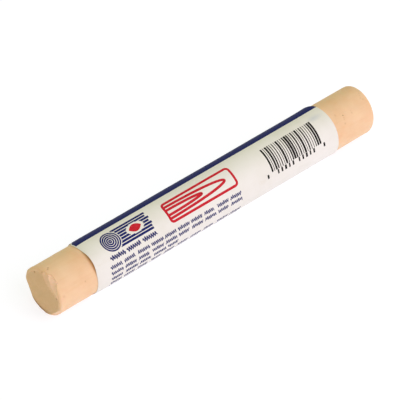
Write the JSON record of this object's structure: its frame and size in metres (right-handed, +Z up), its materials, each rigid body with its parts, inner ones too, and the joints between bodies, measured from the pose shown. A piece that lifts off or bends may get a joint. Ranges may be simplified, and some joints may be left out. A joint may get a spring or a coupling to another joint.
{
  "type": "furniture repair wax stick",
  "caption": "Round stick of hard filler wax in a lapped paper label, bare at both ends, rubbed into scratches and nicks in wooden furniture to fill them.",
  "frame": {"origin": "on the ground, straight below the middle of the stick as it lies on its side", "axes": "+X along the stick from the cut end to the moulded end, +Z up, -Y to the printed front of the label"},
  "size_m": [0.1142, 0.0148, 0.0147],
  "materials": {
    "filler_wax": "cast wax, slightly translucent, satin, with small pits and rubbed marks",
    "label_paper": "smooth white label paper with navy, red and black print",
    "adhesive": "clear yellowish pressure-sensitive coat"
  },
  "bodies": {
    "root": {"wax_stick": "filler_wax", "paper_label": "label_paper", "label_adhesive": "adhesive"}
  },
  "joints": []
}
